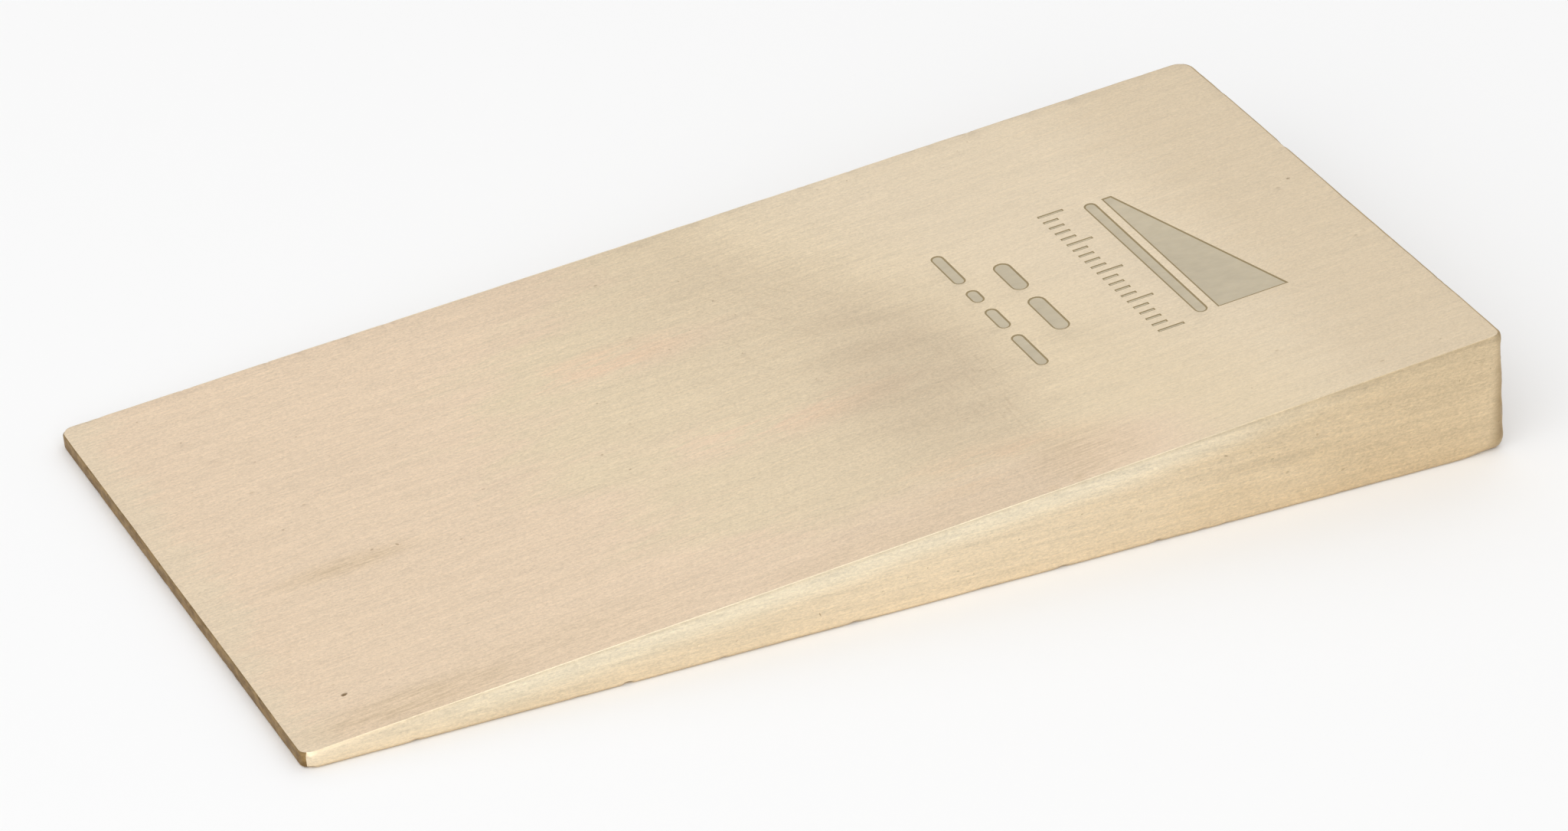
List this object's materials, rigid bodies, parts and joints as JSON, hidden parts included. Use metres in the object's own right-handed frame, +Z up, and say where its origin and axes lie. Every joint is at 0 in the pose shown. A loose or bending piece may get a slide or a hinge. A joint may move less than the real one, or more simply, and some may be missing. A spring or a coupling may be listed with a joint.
{
  "type": "taper wedge",
  "caption": "Solid bronze taper wedge, driven under or between heavy parts with a hammer to lift, spread, level or hold them.",
  "frame": {"origin": "on the ground under the middle of the wedge, in the flat tapered underside that it rests on", "axes": "+X along the length, from the thin leading end to the thick struck end; +Y across the width; +Z up, square to the underside"},
  "size_m": [0.1004, 0.05, 0.0105],
  "materials": {
    "bronze": "pale aluminium bronze, belt-ground along its length to a fine satin grain"
  },
  "bodies": {
    "root": {"wedge_body": "bronze"}
  },
  "joints": []
}
